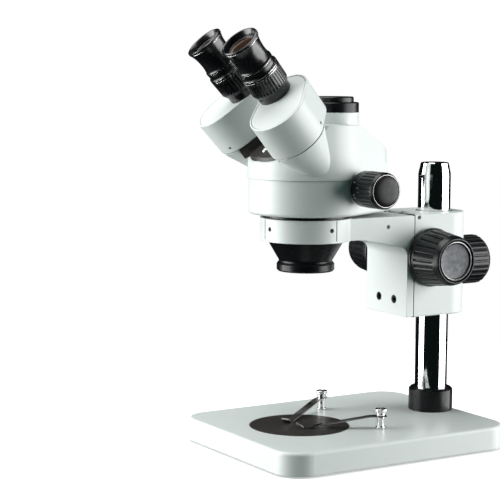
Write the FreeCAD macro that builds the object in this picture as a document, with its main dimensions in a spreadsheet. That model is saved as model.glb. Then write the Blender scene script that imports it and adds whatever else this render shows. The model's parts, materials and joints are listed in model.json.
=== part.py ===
import FreeCAD, Part
import math
import os
import Sketcher
from FreeCAD import Placement, Rotation, Vector
from types import SimpleNamespace

# Trinocular zoom stereo microscope on a pillar stand.
# Frame: +Z up, +X to the right of the person using it, +Y away from them.
# z = 0 is the table, x = 0 is the symmetry plane and y = 0 is half way between
# the front of the eyepieces and the back of the pillar lock knob.
# Heights in the sheet are counted from the underside of the base slab, which
# the rubber feet hold foot_height above the table.

SIZES = {
    # base
    "base_width": 200.0, "base_front": 232.0, "base_back": 23.0, "base_thick": 21.6,
    "base_corner": 26.0, "base_edge": 3.0, "foot_height": 2.0, "foot_radius": 9.0,
    "foot_inset": 22.0, "stage_radius": 47.5, "stage_thick": 6.0, "stage_reach": 156.5,
    "stage_proud": 0.3, "clip_x": 50.0, "clip_reach": 97.5, "clip_length": 80.0,
    "clip_post_radius": 3.5, "clip_arm_level": 33.0, "clip_knob_radius": 5.6,
    # pillar
    "pillar_y": 101.1, "pillar_radius": 16.0, "pillar_straight": 257.4, "pillar_top": 268.5,
    "pillar_tip_radius": 13.0, "pillar_hole_level": 255.0, "pillar_hole_radius": 1.8,
    "pillar_seat": 9.6, "collar_radius": 21.8, "collar_top": 44.3,
    # focus housing on the pillar
    "block_half": 33.0, "block_front": 47.7, "block_back": 26.5, "block_bottom": 121.7,
    "block_top": 221.3, "block_corner": 29.0, "bush_radius": 18.5, "running": 0.05,
    "lock_level": 170.0, "lock_radius": 24.5, "lock_end": 56.5, "lock_start": 27.2,
    "stud_radius": 5.0,
    # dovetail, rack and pinion
    "tail_mouth": 14.8, "tail_root": 19.3, "tail_back": 40.0, "gib_thick": 2.2,
    "pinion_back": 29.0, "pinion_level": 179.5, "pinion_module": 1.0, "pinion_teeth": 15,
    "shaft_radius": 5.0, "focus_knob_radius": 28.4, "focus_knob_length": 41.0,
    "focus_cap_radius": 19.4,
    # carriage arm and head ring
    "optic_reach": 151.5, "ring_bore": 38.05, "ring_outer": 43.3, "ring_bottom": 199.5,
    "ring_top": 221.0, "ring_screw_level": 211.5, "arm_top": 220.5, "plate_front": 56.4, "plate_back": 48.5,
    "plate_bottom": 122.6, "slide_screw_x": 12.3, "slide_screw_level": 137.7,
    # microscope head
    "nose_bottom": 178.8, "nose_neck": 25.3, "nose_cone": 36.4, "flange_radius": 40.7,
    "flange_top": 224.7, "objective_radius": 27.3, "objective_bottom": 170.3,
    "thread_radius": 23.5, "head_radius": 54.5, "head_rear_radius": 29.5,
    "head_rear_reach": 56.8, "seam_level": 258.5, "roof_level": 308.5, "upper_radius": 56.0,
    "upper_rear_radius": 30.5, "wall": 4.0, "roof_break": 28.5, "roof_fall": 26.0,
    "port_y": 28.5, "port_radius": 25.4, "port_top": 319.3, "port_bore": 19.0,
    "port_collar_top": 328.7, "port_cap_radius": 20.2, "port_cap_top": 333.9,
    # zoom drive
    "zoom_y": 28.5, "zoom_level": 250.3, "zoom_shaft_radius": 3.0, "zoom_knob_start": 54.6,
    "zoom_knob_end": 88.5, "zoom_knob_radius": 17.0, "zoom_cap_radius": 14.3,
    "zoom_module": 0.5, "zoom_teeth": 20, "zoom_small_teeth": 12, "cell_lower": 240.0,
    "cell_upper": 266.0, "cell_thick": 4.0, "rod_radius": 2.0, "rod_y": 15.0,
    "lens_x": 13.0, "lens_radius": 8.9,
    # inclined eyepiece halves
    "tilt": 48.0, "splay": 5.0, "pivot_x": 44.86, "pivot_y": 40.13, "pivot_level": 297.74,
    "housing_height": 36.0, "barrel_radius": 28.5, "lobe_radius": 26.0, "lobe_x": 10.0,
    "tube_x": 20.0, "tube_y": 20.0, "sleeve_radius": 20.0, "tube_radius": 16.0,
    "tube_bore": 15.05, "ring_start": 43.0, "ring_end": 66.0, "diopter_radius": 18.5,
    "eyepiece_start": 70.5, "rim_height": 99.0, "rim_radius": 18.4, "waist_radius": 15.6,
    "eye_bore": 13.4, "brow_drop": 12.0, "brow_half": 30.0, "flare_radius": 28.0,
    "lid_depth": 3.6, "lid_edge": 1.5, "lid_gap": 0.4,
}

doc = FreeCAD.newDocument("StereoMicroscope")
sheet = doc.addObject("Spreadsheet::Sheet", "Sizes")


class Size:
    """A length or angle with the spreadsheet expression that gives it."""

    def __init__(self, value, text):
        self.value = float(value)
        self.text = text

    def joined(self, other, sign, value):
        return Size(value, f"({self.text} {sign} {as_size(other).text})")

    def __add__(self, other):
        return self.joined(other, "+", self.value + as_size(other).value)

    def __sub__(self, other):
        return self.joined(other, "-", self.value - as_size(other).value)

    def __mul__(self, other):
        return self.joined(other, "*", self.value * as_size(other).value)

    def __truediv__(self, other):
        return self.joined(other, "/", self.value / as_size(other).value)

    def __neg__(self):
        return Size(-self.value, f"(0 - {self.text})")

    def __radd__(self, other):
        return as_size(other) + self

    def __rsub__(self, other):
        return as_size(other) - self

    def __rmul__(self, other):
        return as_size(other) * self


def as_size(amount):
    if isinstance(amount, Size):
        return amount
    return Size(amount, f"({amount})" if amount < 0 else str(amount))


for row, (alias, amount) in enumerate(SIZES.items(), start=1):
    sheet.set(f"A{row}", alias)
    sheet.set(f"B{row}", str(amount))
    sheet.setAlias(f"B{row}", alias)
doc.recompute()
s = SimpleNamespace(**{alias: Size(amount, f"Sizes.{alias}") for alias, amount in SIZES.items()})

SUBPARTS = []
ALONG_X = Rotation(Vector(0, 1, 0), 90)
ALONG_MINUS_X = Rotation(Vector(0, 1, 0), -90)
ALONG_Y = Rotation(Vector(1, 0, 0), -90)
UPRIGHT = Rotation()
OPTIC_Y = s.pillar_y - s.optic_reach
TEETH_TO_FRONT = Rotation(Vector(0, -1, 0), Vector(0, 0, -1), Vector(1, 0, 0), "ZXY")
SIDES = {"left": -1, "right": 1}
RING_SCREW_ANGLES = (0.4, -84.0, 180.0)
GRUB_ANGLES = {"left": -60.0, "right": 34.0}
PRESSURE_ANGLE = math.radians(20)


# ---------------------------------------------------------------- helpers

def bind(obj, path, amount):
    obj.setExpression(path, as_size(amount).text)


def place(obj, x=0, y=0, z=0, rotation=UPRIGHT):
    """Put an object at a point whose coordinates follow the sheet."""
    spot = [as_size(x), as_size(y), as_size(z)]
    obj.Placement = Placement(Vector(*[c.value for c in spot]), rotation)
    for axis, given, amount in zip("xyz", (x, y, z), spot):
        if isinstance(given, Size):
            bind(obj, f".Placement.Base.{axis}", amount)
    return obj


def at_pillar(obj, rotation=UPRIGHT, x=0, y=0, z=0):
    return place(obj, x, s.pillar_y + y, s.foot_height + z, rotation)


def at_optic(obj, rotation=UPRIGHT, x=0, y=0, z=0):
    return place(obj, x, OPTIC_Y + y, s.foot_height + z, rotation)


def subpart(obj, name):
    """Name an object as one piece of the microscope."""
    obj.Label = name
    SUBPARTS.append(obj)
    return obj


def new_body(name):
    return doc.addObject("PartDesign::Body", name)


def new_sketch(body, plane="XY_Plane", offset=0):
    sketch = body.newObject("Sketcher::SketchObject", f"{body.Name}_sketch")
    support = [f for f in body.Origin.OriginFeatures if f.Role == plane][0]
    sketch.AttachmentSupport = (support, [""])
    sketch.MapMode = "FlatFace"
    bind(sketch, ".AttachmentOffset.Base.z", offset)
    return sketch


def constrain(sketch, kind, amount, *where):
    index = sketch.addConstraint(Sketcher.Constraint(kind, *where, amount.value))
    sketch.setExpression(f"Constraints[{index}]", amount.text)


def locate(sketch, geometry, vertex, x, y):
    """Fix a vertex at (x, y) from the sketch origin."""
    for kind, axis, amount in (("DistanceX", -2, as_size(x)), ("DistanceY", -1, as_size(y))):
        if amount.value == 0:
            sketch.addConstraint(Sketcher.Constraint("PointOnObject", geometry, vertex, axis))
        else:
            constrain(sketch, kind, amount, -1, 1, geometry, vertex)


def polygon(sketch, points):
    corners = [Vector(as_size(x).value, as_size(y).value, 0) for x, y in points]
    first = sketch.GeometryCount
    count = len(points)
    for i in range(count):
        sketch.addGeometry(Part.LineSegment(corners[i], corners[(i + 1) % count]))
    for i in range(count):
        sketch.addConstraint(Sketcher.Constraint("Coincident", first + i, 2, first + (i + 1) % count, 1))
    for i, (x, y) in enumerate(points):
        locate(sketch, first + i, 1, x, y)


def rectangle(sketch, left, low, right, high):
    polygon(sketch, [(left, low), (right, low), (right, high), (left, high)])


def circle(sketch, x, y, radius):
    radius = as_size(radius)
    centre = Vector(as_size(x).value, as_size(y).value, 0)
    index = sketch.addGeometry(Part.Circle(centre, Vector(0, 0, 1), radius.value))
    locate(sketch, index, 3, x, y)
    constrain(sketch, "Radius", radius, index)


def oval(sketch, big, small):
    """Two arcs (x, y, radius) joined by their outer tangent lines."""
    arcs = [(Vector(as_size(x).value, as_size(y).value, 0), as_size(r)) for x, y, r in (big, small)]
    (c1, r1), (c2, r2) = arcs
    along = c2 - c1
    heading = math.atan2(along.y, along.x)
    spread = math.acos((r1.value - r2.value) / along.Length)
    up, down = heading + spread, heading - spread
    first = sketch.GeometryCount
    axis = Vector(0, 0, 1)
    sketch.addGeometry(Part.ArcOfCircle(Part.Circle(c1, axis, r1.value), up, down + 2 * math.pi))
    sketch.addGeometry(Part.ArcOfCircle(Part.Circle(c2, axis, r2.value), down, up))

    def rim(centre, radius, angle):
        return centre + Vector(math.cos(angle), math.sin(angle), 0) * radius.value

    sketch.addGeometry(Part.LineSegment(rim(c1, r1, down), rim(c2, r2, down)))
    sketch.addGeometry(Part.LineSegment(rim(c2, r2, up), rim(c1, r1, up)))
    for pair in ((0, 2, 2, 1), (2, 2, 1, 1), (1, 2, 3, 1), (3, 2, 0, 1)):
        a, va, b, vb = pair
        sketch.addConstraint(Sketcher.Constraint("Tangent", first + a, va, first + b, vb))
    for index, (x, y, r) in enumerate((big, small)):
        locate(sketch, first + index, 3, x, y)
        constrain(sketch, "Radius", as_size(r), first + index)


def pad(body, sketch, length, symmetric=False, taper=0):
    feature = body.newObject("PartDesign::Pad", f"{body.Name}_pad")
    feature.Profile = sketch
    bind(feature, "Length", length)
    if symmetric:
        feature.SideType = "Symmetric"
    feature.TaperAngle = taper
    return feature


def pocket(body, sketch, length, upward=False):
    """Cut a sketch away, downwards from its plane unless upward is set."""
    before = body.Tip
    doc.recompute()
    volume = before.Shape.Volume
    feature = body.newObject("PartDesign::Pocket", f"{body.Name}_pocket")
    feature.Profile = sketch
    bind(feature, "Length", length)
    feature.Reversed = upward
    doc.recompute()
    if feature.Shape.Volume > volume - 0.01:
        raise RuntimeError(f"{feature.Name} removes nothing")
    return feature


def polar(body, feature, sketch, count):
    pattern = body.newObject("PartDesign::PolarPattern", f"{body.Name}_pattern")
    pattern.Originals = [feature]
    pattern.Axis = (sketch, ["N_Axis"])
    pattern.Angle = 360
    pattern.Occurrences = count
    body.Tip = pattern
    return pattern


def edges_where(feature, test):
    doc.recompute()
    return [f"Edge{i}" for i, edge in enumerate(feature.Shape.Edges, start=1) if test(edge)]


def fillet(body, test, radius):
    base = body.Tip
    names = edges_where(base, test)
    feature = body.newObject("PartDesign::Fillet", f"{body.Name}_fillet")
    feature.Base = (base, names)
    bind(feature, "Radius", radius)
    return feature


def turned(name, profile):
    """A body turned about its own Z axis from (radius, height) corners."""
    body = new_body(name)
    sketch = new_sketch(body, "XZ_Plane")
    polygon(sketch, profile)
    feature = body.newObject("PartDesign::Revolution", f"{name}_turn")
    feature.Profile = sketch
    feature.ReferenceAxis = (sketch, ["V_Axis"])
    feature.Angle = 360
    return body


def fluted(body, count, flute_radius, centre_radius, top, length):
    """Cut evenly spaced round flutes down from the height top."""
    sketch = new_sketch(body, "XY_Plane", top)
    circle(sketch, centre_radius, 0, flute_radius)
    cut = pocket(body, sketch, length)
    return polar(body, cut, sketch, count)


def cylinder(radius, length):
    tool = doc.addObject("Part::Cylinder", "cylinder")
    bind(tool, "Radius", radius)
    bind(tool, "Height", length)
    return tool


def box(length, width, height):
    tool = doc.addObject("Part::Box", "box")
    bind(tool, "Length", length)
    bind(tool, "Width", width)
    bind(tool, "Height", height)
    return tool


def combine(kind, *objects):
    """Fuse, cut or intersect objects: the first is the base of a cut."""
    if kind == "cut":
        result = doc.addObject("Part::Cut", "cut")
        result.Base = objects[0]
        result.Tool = objects[1] if len(objects) == 2 else combine("fuse", *objects[1:])
        return result
    types = {"fuse": "Part::MultiFuse", "common": "Part::MultiCommon"}
    result = doc.addObject(types[kind], kind)
    result.Shapes = list(objects)
    return result


def group(*objects):
    """Separate solids of one node."""
    result = doc.addObject("Part::Compound", "group")
    result.Links = list(objects)
    return result


def eye_rotation(side):
    """Axes of one inclined half: Z up its barrel and X to the microscope's right."""
    tilt = math.radians(s.tilt.value)
    splay = math.radians(s.splay.value)
    barrel = Vector(side * math.tan(splay), -math.cos(tilt), math.sin(tilt)).normalize()
    up_slope = (Vector(0, 0, 1) - barrel * barrel.z).normalize()
    across = up_slope.cross(barrel)
    return Rotation(across, up_slope, barrel, "ZXY")


def at_eye(obj, side, x=0, y=0, z=0, turn=UPRIGHT):
    """Place an object given in one eye half's frame, whose origin is the barrel's base."""
    spot = Vector(*[as_size(c).value for c in (x, y, z)])
    pivot = Vector(side * s.pivot_x.value, OPTIC_Y.value - s.pivot_y.value,
                   s.foot_height.value + s.pivot_level.value)
    rotation = eye_rotation(side)
    obj.Placement = Placement(pivot + rotation.multVec(spot), rotation.multiply(turn))
    return obj


# ---------------------------------------------------------------- stand

def build_base():
    body = new_body("base_plate")
    outline = new_sketch(body)
    rectangle(outline, -s.base_width / 2, -s.base_front, s.base_width / 2, s.base_back)
    pad(body, outline, s.base_thick)
    fillet(body, lambda e: abs(e.BoundBox.ZLength - SIZES["base_thick"]) < 0.01, s.base_corner)
    fillet(body, lambda e: e.BoundBox.ZMin > SIZES["base_thick"] - 0.01, s.base_edge)
    recess = new_sketch(body, offset=s.base_thick)
    circle(recess, 0, -s.stage_reach, s.stage_radius + 0.4)
    pocket(body, recess, s.stage_thick)
    finger_hole = new_sketch(body, offset=s.base_thick)
    circle(finger_hole, 0, -s.stage_reach, 12)
    pocket(body, finger_hole, s.base_thick)
    socket = new_sketch(body, offset=s.base_thick)
    circle(socket, 0, 0, s.pillar_radius + s.running)
    pocket(body, socket, s.base_thick - s.pillar_seat)
    bolt_way = new_sketch(body, offset=s.base_thick)
    circle(bolt_way, 0, 0, 5.3)
    pocket(body, bolt_way, s.base_thick)
    counterbore = new_sketch(body)
    circle(counterbore, 0, 0, 9.5)
    pocket(body, counterbore, 7.6, upward=True)
    posts = new_sketch(body, offset=s.base_thick)
    for side in SIDES.values():
        circle(posts, side * s.clip_x, -s.clip_reach, 3.05)
    pocket(body, posts, 12)
    subpart(at_pillar(body), "base_plate")

    feet = []
    for side in SIDES.values():
        for y in (s.foot_inset - s.base_front, s.base_back - s.foot_inset):
            foot = turned("foot", [(0, -s.foot_height), (s.foot_radius - 0.8, -s.foot_height),
                                   (s.foot_radius, 0), (0, 0)])
            feet.append(at_pillar(foot, x=side * (s.base_width / 2 - s.foot_inset), y=y))
    subpart(group(*feet), "rubber_feet")

    floor = s.base_thick - s.stage_thick
    top = s.base_thick + s.stage_proud
    plate = turned("stage_plate", [(0, floor), (s.stage_radius, floor), (s.stage_radius, top - 0.6),
                                   (s.stage_radius - 0.6, top), (0, top)])
    subpart(at_pillar(plate, y=-s.stage_reach), "stage_plate")


def build_pillar():
    tip = s.pillar_tip_radius
    tapped = 5.05
    pillar = turned("pillar", [
        (tapped, s.pillar_seat), (s.pillar_radius, s.pillar_seat), (s.pillar_radius, s.pillar_straight),
        (tip + 0.8, s.pillar_top - 0.6), (tip, s.pillar_top), (0, s.pillar_top), (0, 44), (tapped, 44)])
    tommy_hole = new_sketch(pillar, "XZ_Plane", s.pillar_radius)
    circle(tommy_hole, 0, s.pillar_hole_level, s.pillar_hole_radius)
    pocket(pillar, tommy_hole, 7)
    subpart(at_pillar(pillar), "pillar")

    bore = s.pillar_radius + s.running
    top = s.collar_top
    collar = turned("pillar_collar", [
        (bore, s.base_thick), (s.collar_radius, s.base_thick), (s.collar_radius, top - 2),
        (s.collar_radius - 2, top), (bore, top)])
    subpart(at_pillar(collar), "pillar_collar")

    bolt = turned("pillar_bolt", [(0, 3.5), (4, 3.5), (4, 1), (8.2, 1), (8.2, 7.6), (5, 7.6),
                                  (5, 38), (0, 38)])
    subpart(at_pillar(bolt), "pillar_bolt")


def build_clips():
    """Spring clips that turn on posts beside the stage plate."""
    toe_in = {"right": -119.0, "left": -60.0}
    for name, side in SIDES.items():
        post_radius = s.clip_post_radius
        knob = s.clip_knob_radius
        rise = s.base_thick
        arm = s.clip_arm_level
        post = turned(f"clip_post_{name}", [
            (0, 10.6), (3, 10.6), (3, rise + 0.2), (4.6, rise + 0.2), (4.6, rise + 2.2),
            (post_radius, rise + 2.2), (post_radius, arm - 1.6), (4.4, arm - 1.6), (4.4, arm - 0.1),
            (post_radius, arm - 0.1), (post_radius, arm + 1.0), (knob - 0.7, arm + 1.0),
            (knob, arm + 1.7), (knob, arm + 7.2), (knob - 0.7, arm + 7.9), (0, arm + 7.9)])
        fluted(post, 24, 0.35, knob, arm + 7.9, 6.9)
        subpart(at_pillar(post, x=side * s.clip_x, y=-s.clip_reach), f"clip_post_{name}")

        body = new_body(f"clip_arm_{name}")
        profile = new_sketch(body, "XZ_Plane")
        length = s.clip_length
        thick = 0.9
        heel, dip = 10, s.base_thick + s.stage_proud + 0.3
        polygon(profile, [
            (-5.6, arm), (heel, arm), (length - 9, dip), (length - 6, dip), (length, dip + 4),
            (length - 0.5, dip + 4 + thick), (length - 6.6, dip + thick), (length - 9, dip + thick),
            (heel, arm + thick), (-5.6, arm + thick)])
        pad(body, profile, 8, symmetric=True)
        eye = new_sketch(body, "XY_Plane", arm + thick)
        circle(eye, 0, 0, post_radius + s.running)
        pocket(body, eye, thick)
        turn = Rotation(Vector(0, 0, 1), toe_in[name])
        subpart(at_pillar(body, turn, x=side * s.clip_x, y=-s.clip_reach), f"clip_arm_{name}")


# ---------------------------------------------------------------- focus block on the pillar

def build_focus_block():
    height = s.block_top - s.block_bottom
    bush_bore = s.pillar_radius + s.running
    bush = turned("pillar_bush", [
        (bush_bore, s.block_bottom + 0.5), (s.bush_radius, s.block_bottom + 0.5),
        (s.bush_radius, s.block_top - 0.5), (bush_bore, s.block_top - 0.5)])
    subpart(at_pillar(bush), "pillar_bush")

    body = new_body("focus_housing")
    outline = new_sketch(body, offset=s.block_bottom)
    rectangle(outline, -s.block_half, -s.block_front, s.block_half, s.block_back)
    pad(body, outline, height)
    fillet(body, lambda e: e.BoundBox.ZLength > 90 and e.BoundBox.YMin > 0, s.block_corner)
    fillet(body, lambda e: e.BoundBox.ZLength < 0.01 and e.BoundBox.YMax > -40, 1.5)
    bore = new_sketch(body, offset=s.block_top)
    circle(bore, 0, 0, s.bush_radius + s.running)
    pocket(body, bore, height)
    tail = new_sketch(body, offset=s.block_top)
    mouth, root = s.tail_mouth + 0.2, s.tail_root + 0.4
    back = s.tail_back - 0.4
    polygon(tail, [(-mouth, -s.block_front), (mouth + s.gib_thick, -s.block_front),
                   (root + s.gib_thick, -back), (-root, -back)])
    pocket(body, tail, height)
    rack_way = new_sketch(body, offset=s.block_top)
    rectangle(rack_way, -5.2, -s.tail_back - 0.5, 5.2, -34.2)
    pocket(body, rack_way, height)
    shaft_way = new_sketch(body, "YZ_Plane", s.block_half)
    circle(shaft_way, -s.pinion_back, s.pinion_level, s.shaft_radius + 0.4)
    pocket(body, shaft_way, s.block_half * 2)
    for side in SIDES.values():
        seat = new_sketch(body, "YZ_Plane", side * s.block_half)
        circle(seat, -s.pinion_back, s.pinion_level, 8)
        pocket(body, seat, 11, upward=side < 0)
    pinion_way = new_sketch(body, "YZ_Plane", 8)
    circle(pinion_way, -s.pinion_back, s.pinion_level, 8.9)
    pocket(body, pinion_way, 16)
    lock_way = new_sketch(body, "XZ_Plane", -s.block_back)
    circle(lock_way, 0, s.lock_level, s.stud_radius + s.running)
    pocket(body, lock_way, 12, upward=True)
    gib_way = new_sketch(body, "YZ_Plane", s.block_half)
    circle(gib_way, -42.9, 218.3, 2)
    pocket(body, gib_way, 14)
    subpart(at_pillar(body), "focus_housing")

    rings = []
    for side in SIDES.values():
        start = 22.2
        ring = turned("shaft_bush", [
            (s.shaft_radius + s.running, start), (7.9, start), (7.9, s.block_half),
            (s.shaft_radius + s.running, s.block_half)])
        axis = ALONG_X if side > 0 else ALONG_MINUS_X
        rings.append(at_pillar(ring, axis, y=-s.pinion_back, z=s.pinion_level))
    subpart(group(*rings), "shaft_bushes")

    gib = new_body("gib_strip")
    section = new_sketch(gib, offset=s.block_bottom + 1)
    slip = 0.12
    polygon(section, [
        (s.tail_mouth + slip, -s.block_front + 0.1), (mouth + s.gib_thick - slip, -s.block_front + 0.1),
        (root + s.gib_thick - 2 * slip, -s.tail_back), (s.tail_root + slip, -s.tail_back)])
    pad(gib, section, height - 2)
    subpart(at_pillar(gib), "gib_strip")


def build_pillar_lock():
    hole = s.stud_radius
    bush_gap = 0.3
    pad_end = 21.6
    blank = at_pillar(cylinder(hole, pad_end - 15), ALONG_Y, y=15, z=s.lock_level)
    round_cut = at_pillar(cylinder(s.bush_radius + bush_gap, 40), z=s.lock_level - 20)
    subpart(combine("cut", blank, round_cut), "lock_pad")

    outer, start, end = s.lock_radius, s.lock_start, s.lock_end
    knob = turned("lock_knob", [
        (0, pad_end + 0.1), (hole, pad_end + 0.1), (hole, start), (12, start), (12, start + 2),
        (outer - 2.5, start + 2), (outer, start + 5), (outer, end - 5), (outer - 3, end - 1),
        (outer - 4.5, end), (14, end), (13, end - 2), (0, end - 2)])
    fluted(knob, 20, 2.1, outer + 0.9, end + 1, end - start)
    subpart(at_pillar(knob, ALONG_Y, z=s.lock_level), "lock_knob")


# ---------------------------------------------------------------- toothed pieces

def gear_face(module, teeth, addendum, dedendum, backlash):
    """Involute gear outline with one tooth centred on the local +X axis."""
    pitch = module * teeth / 2
    base = pitch * math.cos(PRESSURE_ANGLE)
    root, tip = pitch - dedendum, pitch + addendum
    involute = math.tan(PRESSURE_ANGLE) - PRESSURE_ANGLE
    half_at_base = (math.pi * module / 2 - backlash) / (2 * pitch) + involute
    steps = 5
    start = max(base, root)
    flank = []
    for i in range(steps + 1):
        radius = start + (tip - start) * i / steps
        pressure = math.acos(base / radius)
        flank.append((radius, half_at_base - math.tan(pressure) + pressure))

    def point(radius, angle):
        return Vector(radius * math.cos(angle), radius * math.sin(angle), 0)

    edges = []
    pitch_angle = 2 * math.pi / teeth
    for tooth in range(teeth):
        centre = tooth * pitch_angle
        rising = [point(r, centre - a) for r, a in flank]
        falling = [point(r, centre + a) for r, a in reversed(flank)]
        if root < base:
            edges.append(Part.makeLine(point(root, centre - half_at_base), rising[0]))
        for side in (rising, falling):
            curve = Part.BSplineCurve()
            curve.interpolate(side)
            if side is falling:
                edges.append(Part.Arc(rising[-1], point(tip, centre), falling[0]).toShape())
            edges.append(curve.toShape())
        if root < base:
            edges.append(Part.makeLine(falling[-1], point(root, centre + half_at_base)))
        gap_start, gap_end = centre + half_at_base, centre + pitch_angle - half_at_base
        edges.append(Part.Arc(point(root, gap_start), point(root, (gap_start + gap_end) / 2),
                              point(root, gap_end)).toShape())
    return Part.Face(Part.Wire(edges))


def rack_face(module, low, high, centre, addendum, dedendum, backlash, back):
    """Rack outline in (depth, height): teeth point to +depth, a gap lies at the height centre."""
    pitch = math.pi * module
    half = (pitch / 2 - backlash) / 2
    tip = half - addendum * math.tan(PRESSURE_ANGLE)
    root = half + dedendum * math.tan(PRESSURE_ANGLE)
    first = math.ceil((low + root - centre) / pitch - 0.5)
    last = math.floor((high - root - centre) / pitch - 0.5)
    points = [(-back, low), (-dedendum, low)]
    for tooth in range(first, last + 1):
        middle = centre + (tooth + 0.5) * pitch
        points += [(-dedendum, middle - root), (addendum, middle - tip),
                   (addendum, middle + tip), (-dedendum, middle + root)]
    points += [(-dedendum, high), (-back, high)]
    return [(round(depth, 6), round(height, 6)) for depth, height in points]


def rack_solid(points, x_start, x_end, pitch_line):
    """Extrude a rack outline along X with its pitch line at the given y."""
    corners = [Vector(x_start, pitch_line + depth, height) for depth, height in points]
    face = Part.Face(Part.makePolygon(corners + corners[:1]))
    return face.extrude(Vector(x_end - x_start, 0, 0))


def shape_feature(name, shape, where):
    feature = doc.addObject("Part::Feature", name)
    feature.Shape = shape
    feature.Placement = Placement(Vector(*[as_size(c).value for c in where]), UPRIGHT)
    return feature


def shaft_with_gear(shaft_radius, half_length, gears):
    """A shaft along X with (face, x_start, x_end) gears, one tooth of each towards -Y."""
    shaft = Part.makeCylinder(shaft_radius, 2 * half_length, Vector(-half_length, 0, 0), Vector(1, 0, 0))
    for face, x_start, x_end in gears:
        gear = face.extrude(Vector(0, 0, x_end - x_start))
        gear.Placement = Placement(Vector(x_start, 0, 0), TEETH_TO_FRONT)
        shaft = shaft.fuse(gear)
    return shaft.removeSplitter()


def build_focus_drive():
    module, teeth = SIZES["pinion_module"], SIZES["pinion_teeth"]
    pitch = module * teeth / 2
    pinion = gear_face(module, teeth, 0.8, 1.0, 0.12)
    half_length = s.block_half + s.focus_knob_length - 5
    shaft = shaft_with_gear(SIZES["shaft_radius"], half_length.value, [(pinion, -6.5, 6.5)])
    where = (0, s.pillar_y - s.pinion_back, s.foot_height + s.pinion_level)
    subpart(shape_feature("pinion_shaft", shaft, where), "pinion_shaft")

    back = SIZES["tail_back"] - SIZES["pinion_back"] - pitch
    teeth_line = rack_face(module, 124.0, 219.0, SIZES["pinion_level"], 0.7, 1.0, 0.12, back)
    rack = rack_solid(teeth_line, -4.4, 4.4, -SIZES["pinion_back"] - pitch)
    subpart(shape_feature("rack", rack, (0, s.pillar_y, s.foot_height)), "rack")

    caps = []
    radius, length, cap = s.focus_knob_radius, s.focus_knob_length, s.focus_cap_radius
    bore = s.shaft_radius + 0.01
    for name, side in SIDES.items():
        knob = turned(f"focus_knob_{name}", [
            (bore, 0.7), (radius - 1, 0.7), (radius, 1.7), (radius, 5), (radius - 1, 6.2),
            (radius - 1, 9), (radius - 4.4, length - 6), (radius - 5.4, length - 3),
            (radius - 6.4, length - 0.6), (radius - 7.4, length), (cap + 0.4, length),
            (cap + 0.4, length - 4), (bore, length - 4)])
        fluted(knob, 22, 2.0, radius - 0.2, length - 5, length - 13)
        axis = ALONG_X if side > 0 else ALONG_MINUS_X
        place(knob, side * s.block_half, s.pillar_y - s.pinion_back,
              s.foot_height + s.pinion_level, axis)
        subpart(knob, f"focus_knob_{name}")
        disc = turned("focus_cap", [
            (0, length - 3.9), (cap, length - 3.9), (cap, length - 1.2), (cap - 1.2, length - 0.8),
            (5, length - 2.6), (0, length - 2.7)])
        caps.append(place(disc, side * s.block_half, s.pillar_y - s.pinion_back,
                          s.foot_height + s.pinion_level, axis))
    subpart(group(*caps), "focus_caps")


# ---------------------------------------------------------------- carriage

def build_carriage():
    reach = s.optic_reach
    body = new_body("arm_casting")
    profile = new_sketch(body, "YZ_Plane")
    polygon(profile, [
        (-130, s.ring_bottom + 0.3), (-110, s.ring_bottom + 0.3), (-86, s.ring_bottom - 3.6),
        (-s.plate_front, s.ring_bottom - 11), (-s.plate_front, s.plate_bottom),
        (-s.plate_back, s.plate_bottom), (-s.plate_back, s.arm_top), (-130, s.arm_top)])
    pad(body, profile, s.block_half * 2, symmetric=True)
    inner = -SIZES["plate_front"]
    fillet(body, lambda e: (e.BoundBox.XLength > 60 and abs(e.BoundBox.YMin - inner) < 0.1
                            and 180 < e.BoundBox.ZMin < 195), 9)
    fillet(body, lambda e: e.BoundBox.XLength > 60 and e.BoundBox.ZMin > 220 and e.BoundBox.YMin > -60, 1.2)
    ring = new_sketch(body, offset=s.ring_bottom)
    circle(ring, 0, -reach, s.ring_outer)
    pad(body, ring, s.ring_top - s.ring_bottom)
    bore = new_sketch(body, offset=s.ring_top)
    circle(bore, 0, -reach, s.ring_bore)
    pocket(body, bore, 30)
    for depth, radius in ((12, 2.25), (4.6, 4.1)):
        screws = new_sketch(body, "XZ_Plane", s.plate_front)
        for side in SIDES.values():
            circle(screws, side * s.slide_screw_x, s.slide_screw_level, radius)
        pocket(body, screws, depth)
    side_hole = new_sketch(body, "YZ_Plane", s.block_half)
    circle(side_hole, -79.5, 210.8, 2)
    pocket(body, side_hole, 8)
    at_pillar(body)
    ways = [ring_hole(angle, 2.1, -2, 12) for angle in RING_SCREW_ANGLES]
    subpart(combine("cut", body, *ways), "carriage_arm")
    subpart(group(*[ring_hole(angle, 2.05, 0.1, 4.6) for angle in RING_SCREW_ANGLES]), "ring_screws")

    slide = new_body("dovetail_slide")
    section = new_sketch(slide, offset=s.plate_bottom)
    mouth, root = s.tail_mouth, s.tail_root
    polygon(section, [(-mouth, -s.plate_back), (mouth, -s.plate_back), (mouth, -s.block_front),
                      (root, -s.tail_back), (-root, -s.tail_back), (-mouth, -s.block_front)])
    pad(slide, section, s.arm_top - s.plate_bottom - 1)
    tapped = new_sketch(slide, "XZ_Plane", s.plate_back)
    for side in SIDES.values():
        circle(tapped, side * s.slide_screw_x, s.slide_screw_level, 2.05)
    pocket(slide, tapped, 6)
    subpart(at_pillar(slide), "dovetail_slide")

    screws = []
    for side in SIDES.values():
        head = s.plate_front - 0.4
        screw = turned("slide_screw", [
            (0, -head + 2.6), (1.9, -head + 2.6), (1.9, -head), (3.9, -head), (3.9, -head + 4),
            (2.0, -head + 4), (2.0, -43.5), (0, -43.5)])
        screws.append(at_pillar(screw, ALONG_Y, x=side * s.slide_screw_x, z=s.slide_screw_level))
    subpart(group(*screws), "slide_screws")


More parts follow.
